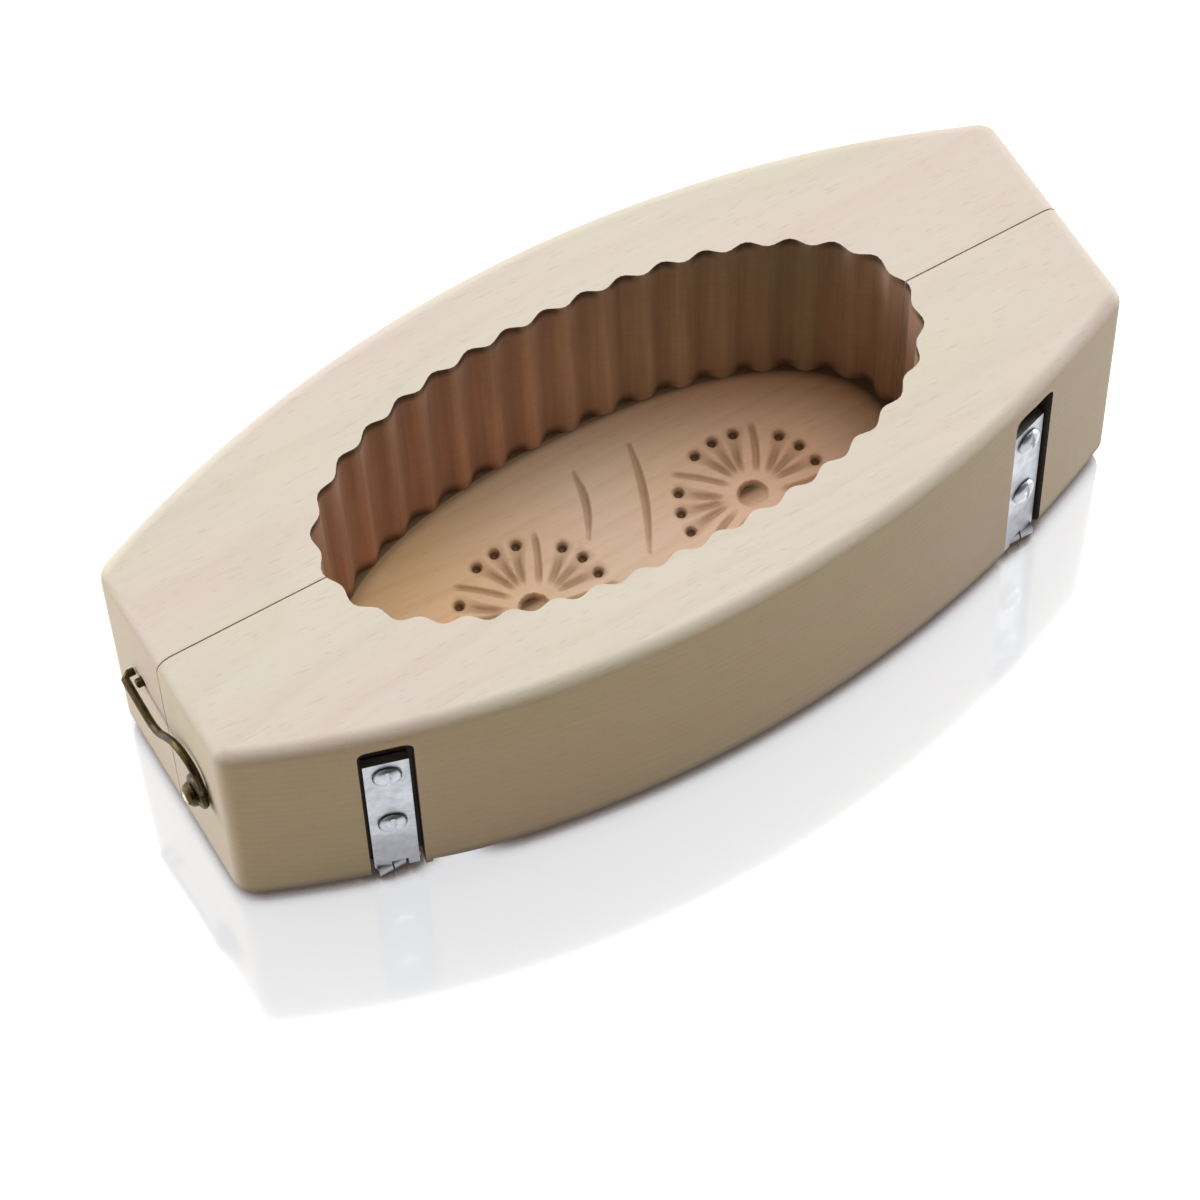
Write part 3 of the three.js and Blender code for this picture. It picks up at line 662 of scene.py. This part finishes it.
# The plate that fills the simple carving of the CAD board
PLATE_HALF = (61.5, 27.5)
PLATE_DEPTH = 3.5
PLATE_STEPS = 96


def rise(values, start, end):
    """0 up to start, 1 from end on, and smooth between."""
    share = np.clip((values - start) / (end - start), 0, 1)
    return share * share * (3 - 2 * share)


def along_run(reach, start, full, fade, end):
    """1 along the middle of a cut, falling to 0 at both its ends."""
    return rise(reach, start, full) * (1 - rise(reach, fade, end))


def rounded(off, half, power=1):
    """1 on a cut's middle line and 0 from half its width on."""
    return np.clip(1 - (off / half) ** 2, 0, 1) ** power


def flower_depth(x, y, centre):
    """How deep one flower is carved at places on the floor."""
    dx, dy = x - centre[0], y - centre[1]
    reach, angle = np.hypot(dx, dy), np.arctan2(dy, dx)
    deepest = np.zeros_like(x)
    share = np.clip((reach - PETAL_START) / (PETAL_REACH - PETAL_START), 0, 1)
    half = SCOOP_HALVES[0] + SCOOP_HALVES[1] * share
    lobe_turn = LOBE_TURN * (LOBE_TURN_SHARES[0] + LOBE_TURN_SHARES[1] * share)
    for petal in range(PETALS):
        middle = PETAL_TURN + 2 * math.pi * petal / PETALS
        for lobe in (-1, 0, 1):
            bearing = middle + lobe * lobe_turn
            off = reach * np.sin(angle - bearing)
            ahead = np.cos(angle - bearing) > 0
            scoop = SCOOP_DEPTH * rounded(off, half) * along_run(reach, *SCOOP_RUN)
            stroke = STROKE_DEPTH * rounded(off, STROKE_HALF, STROKE_POWER)
            stroke = stroke * along_run(reach, *STROKE_RUN)
            tip = middle + lobe * LOBE_TURN
            away = np.hypot(dx - PETAL_REACH * math.cos(tip), dy - PETAL_REACH * math.sin(tip))
            dot = DOT_DEPTH * rounded(away, DOT_RADIUS, DOT_POWER)
            deepest = np.maximum(deepest, np.maximum((scoop + stroke) * ahead, dot))
        between = middle + math.pi / PETALS + VEIN_BEND * (reach - VEIN_MIDDLE)
        off = reach * np.sin(angle - between)
        ahead = np.cos(angle - between) > 0
        vein = VEIN_DEPTH * rounded(off, VEIN_HALF, VEIN_POWER) * along_run(reach, *VEIN_RUN)
        deepest = np.maximum(deepest, vein * ahead)
    # The eye is a gouge's bite: deepest against its far edge, and running out towards the front
    bite = np.clip(BITE_SHARES[0] + BITE_SHARES[1] * dy / EYE_RADIUS, 0, 1) ** BITE_POWER
    eye = EYE_DEPTH * bite * np.clip((EYE_RADIUS - reach) / EYE_EDGE, 0, 1) ** EYE_POWER
    return np.maximum(deepest, eye)


def stem_depth(x, y, stem):
    """The same for one bowed stem between the flowers."""
    (x0, y0), (x1, y1), bow = stem
    share = np.clip((y - y0) / (y1 - y0), 0, 1)
    line = x0 + (x1 - x0) * share + bow * np.sin(math.pi * share)
    off = np.hypot((x - line) * STEM_LEAN, np.clip(y - y0, 0, None) + np.clip(y1 - y, 0, None))
    swell = np.sqrt(np.sin(math.pi * np.clip(share, *STEM_ENDS)))
    half = STEM_HALVES[0] + STEM_HALVES[1] * swell
    return STEM_DEPTH * rounded(off, half, STEM_POWER) * half


def carving_depth(x, y):
    depths = [flower_depth(x, y, centre) for centre in FLOWER_PLACES]
    depths += [stem_depth(x, y, stem) for stem in STEMS]
    return np.maximum.reduce(depths)


def spaced(*stretches):
    """Places along an axis: each stretch is (start, end, step)."""
    rows = [np.arange(start, end - step / 2, step) for start, end, step in stretches]
    return np.concatenate(rows)


def carving_cutter():
    """A closed body whose underside is the carved floor, just above it where nothing is carved."""
    x, y = np.meshgrid(spaced(*FIELD_X), spaced(*FIELD_Y), indexing="ij")
    z = BOARD_TOP / MM - carving_depth(x, y) + FIELD_LIFT
    places = np.stack([x, y, z], -1).reshape(-1, 3)
    index = np.arange(len(places)).reshape(x.shape)
    quads = np.stack([index[:-1, :-1], index[:-1, 1:], index[1:, 1:], index[1:, :-1]], -1)
    rim = np.concatenate([index[:, 0], index[-1, 1:], index[-2::-1, -1], index[0, -2:0:-1]])
    raised = places[rim].copy()
    raised[:, 2] = BOARD_TOP / MM + FIELD_HEIGHT
    lid = np.arange(len(rim)) + len(places)
    walls = np.stack([rim, np.roll(rim, -1), np.roll(lid, -1), lid], -1)
    faces = quads.reshape(-1, 4).tolist() + walls.tolist() + [lid.tolist()]
    mesh = bpy.data.meshes.new("carving")
    mesh.from_pydata((np.concatenate([places, raised]) * MM).tolist(), [], faces)
    return linked("carving", mesh)


def oval_plate():
    surface = bmesh.new()
    low, high = BOARD_TOP - PLATE_DEPTH * MM, BOARD_TOP
    half_x, half_y = (half * MM for half in PLATE_HALF)
    turns = [2 * math.pi * step / PLATE_STEPS for step in range(PLATE_STEPS)]
    ring = [
        surface.verts.new((half_x * math.cos(turn), half_y * math.sin(turn), low))
        for turn in turns
    ]
    face = surface.faces.new(ring)
    grown = bmesh.ops.extrude_face_region(surface, geom=[face])["geom"]
    lifted = [item for item in grown if isinstance(item, bmesh.types.BMVert)]
    bmesh.ops.translate(surface, verts=lifted, vec=(0, 0, high - low))
    bmesh.ops.recalc_face_normals(surface, faces=surface.faces)
    return made("plate", surface)


def combine(piece, other, operation):
    """Joins or cuts piece with other, which is then gone."""
    step = piece.modifiers.new("step", "BOOLEAN")
    step.operation = operation
    step.object = other
    step.solver = "MANIFOLD"
    graph = bpy.context.evaluated_depsgraph_get()
    mesh = bpy.data.meshes.new_from_object(piece.evaluated_get(graph))
    piece.modifiers.remove(step)
    piece.data = mesh
    bpy.data.objects.remove(other)


def carved_board():
    node = "base_board"
    blank = made("board_blank", merged(node))
    combine(blank, oval_plate(), "UNION")
    combine(blank, carving_cutter(), "DIFFERENCE")
    surface = bmesh.new()
    surface.from_mesh(blank.data)
    bpy.data.objects.remove(blank)
    bmesh.ops.remove_doubles(surface, verts=surface.verts, dist=CARVING_WELD)
    piece = made("carved_board", surface, CARVING_SHARP)
    dressed(piece, node, FLOOR_WOOD)
    flat_shaded(piece)


carved_board()
for side in ("front", "back"):
    side_piece(side)
for node in nodes:
    if slot_of_node[node] in METALS:
        metal_piece(node)


# Stage

FLOOR_HALF = 6
FLOOR_DROP = 0.05 * MM
FLOOR_WHITES = [(0.0, (0.155, 0.158, 0.165)), (1.0, (0.17, 0.173, 0.18))]
CONTACT_REACH = 4.5 * MM
CONTACT_SHADE = [
    (0.4, (0.075, 0.055, 0.045)),
    (0.6, (0.18, 0.14, 0.12)),
    (0.74, (0.82, 0.8, 0.8)),
    (0.9, 1.0),
]
GLOW_COLOUR = (0.97, 0.98, 1.0)
GLOSS_COLOUR = (1, 0.98, 0.94)
BOUNCE_COLOUR = (0.6, 0.47, 0.285)
FILL_COLOUR = (1.0, 0.91, 0.76)
GLOW_STRENGTH = 0.9
GLOSS_SHARE = 0.2
GLOSS_ROUGHNESS = 0.09
FILL_STRENGTH = 0.16
# In mirrors: where the room's dark side ends and its light side starts, and how light they are
DARK_ROOM = (-0.35, 0.15, 0.06, 1.0)

# Each lamp: its place, the height it points at over the origin, its size, power and colour
LAMPS = {
    "key": ((0.95, 0.6, 2.75), 0.03, (2.0, 2.0), 66, (0.985, 0.985, 1.0)),
    "back_light": ((-0.9, 1.4, 0.8), 0.04, (1.2, 0.6), 11.0, (0.83, 0.92, 1.0)),
    "left_fill": ((-0.8, 0.6, 0.2), 0.04, (0.7, 0.3), 3.5, (1, 1, 1)),
    "right_fill": ((1.0, 0.0, 0.12), 0.04, (0.7, 0.22), 4.0, (0.8, 0.9, 1.0)),
}

# The photograph's view, fitted to the outlines of the block and the hollow's mouth
VIEW_AZIMUTH = math.radians(-28.48)
VIEW_ELEVATION = math.radians(60.42)
VIEW_ROLL = math.radians(-2.18)
VIEW_TARGET = Vector((-13.24, -14.85, 27.5)) * MM
VIEW_DISTANCE = 949.28 * MM
FOCAL_PIXELS = 4868.94
PHOTO_PIXELS = 1200
SENSOR_WIDTH = 36
CLIP_RANGE = (0.05, 50)


def floor_material():
    """A white, faintly glossy sheet, which gives off a warm bounce.

    It shows white to the camera except in the mold's shade and reflection.
    """
    t = Tree(bpy.data.materials.new("studio_floor"))
    rays = t.node("ShaderNodeLightPath").outputs
    seen = t.math("MAXIMUM", rays["Is Camera Ray"], rays["Is Glossy Ray"])
    cloud = t.noise(t.place(), *FLOOR_CLOUD, detail=1.0)["Fac"]
    white = t.ramp(cloud, FLOOR_WHITES)
    near = t.node("ShaderNodeAmbientOcclusion", {"Distance": CONTACT_REACH}, samples=16)
    under = t.ramp(near.outputs["AO"], CONTACT_SHADE)
    white = t.mix(1.0, white, under, "MULTIPLY")
    light = t.mix(1.0, under, GLOW_COLOUR, "MULTIPLY")
    glow = t.shader("ShaderNodeEmission", {"Color": light, "Strength": GLOW_STRENGTH})
    shown = t.shader("ShaderNodeBsdfDiffuse", {"Color": white})
    lit = t.shader("ShaderNodeAddShader", {0: shown, 1: glow})
    gloss = t.shader(
        "ShaderNodeBsdfGlossy", {"Color": GLOSS_COLOUR, "Roughness": GLOSS_ROUGHNESS}
    )
    sheet = t.shader_mix(GLOSS_SHARE, lit, gloss)
    bounce = t.shader("ShaderNodeBsdfDiffuse", {"Color": BOUNCE_COLOUR})
    return t.finished(t.shader_mix(seen, bounce, sheet))


def studio_floor():
    mesh = bpy.data.meshes.new("floor")
    corners = [(-1, -1), (1, -1), (1, 1), (-1, 1)]
    places = [(FLOOR_HALF * x, FLOOR_HALF * y, 0) for x, y in corners]
    mesh.from_pydata(places, [], [(0, 1, 2, 3)])
    mesh.materials.append(floor_material())
    floor = linked("floor", mesh)
    floor.location.z = -FLOOR_DROP


def studio_world():
    """A weak warm fill. The camera and mirrors see a white room instead.

    In mirrors the room is dark on the photographer's side.
    """
    t = Tree(bpy.data.worlds.new("studio"))
    rays = t.node("ShaderNodeLightPath").outputs
    mirrored = t.math("MAXIMUM", rays["Is Glossy Ray"], rays["Is Transmission Ray"])
    seen = t.math("MAXIMUM", rays["Is Camera Ray"], mirrored)
    direction = t.node("ShaderNodeTexCoord").outputs["Generated"]
    room = t.span(t.split(direction)["Y"], *DARK_ROOM)
    level = t.math("MAXIMUM", room, rays["Is Camera Ray"])
    fill = t.shader("ShaderNodeBackground", {"Color": FILL_COLOUR, "Strength": FILL_STRENGTH})
    white = t.shader("ShaderNodeBackground", {"Color": (1, 1, 1), "Strength": level})
    shown = t.shader_mix(seen, fill, white)
    bpy.context.scene.world = t.finished(shown, "ShaderNodeOutputWorld")


def softbox(name, place, aim, size, power, colour):
    lamp = bpy.data.lights.new(name, "AREA")
    lamp.shape = "RECTANGLE"
    lamp.size, lamp.size_y = size
    lamp.energy = power
    lamp.color = colour
    holder = linked(name, lamp)
    holder.location = place
    holder.rotation_mode = "QUATERNION"
    ray = Vector((0, 0, aim)) - Vector(place)
    holder.rotation_quaternion = ray.to_track_quat("-Z", "Y")


def studio_camera():
    """The photograph's view: a long lens, from the front left and well above."""
    level_share, height_share = math.cos(VIEW_ELEVATION), math.sin(VIEW_ELEVATION)
    sideways, forward = math.sin(VIEW_AZIMUTH), math.cos(VIEW_AZIMUTH)
    back = Vector((sideways * level_share, -forward * level_share, height_share))
    level = (-back).cross(Vector((0, 0, 1))).normalized()
    upright = level.cross(-back)
    across = level * math.cos(VIEW_ROLL) + upright * math.sin(VIEW_ROLL)
    above = upright * math.cos(VIEW_ROLL) - level * math.sin(VIEW_ROLL)
    lens = bpy.data.cameras.new("camera")
    lens.sensor_fit = "HORIZONTAL"
    lens.sensor_width = SENSOR_WIDTH
    lens.lens = SENSOR_WIDTH * FOCAL_PIXELS / PHOTO_PIXELS
    lens.clip_start, lens.clip_end = CLIP_RANGE
    camera = linked("camera", lens)
    turn = Matrix((across, above, back)).transposed().to_4x4()
    camera.matrix_world = Matrix.Translation(VIEW_TARGET + back * VIEW_DISTANCE) @ turn
    bpy.context.scene.camera = camera


studio_floor()
studio_world()
for name, settings in LAMPS.items():
    softbox(name, *settings)
studio_camera()
bpy.context.scene.view_settings.view_transform = "Standard"

bpy.context.view_layer.update()
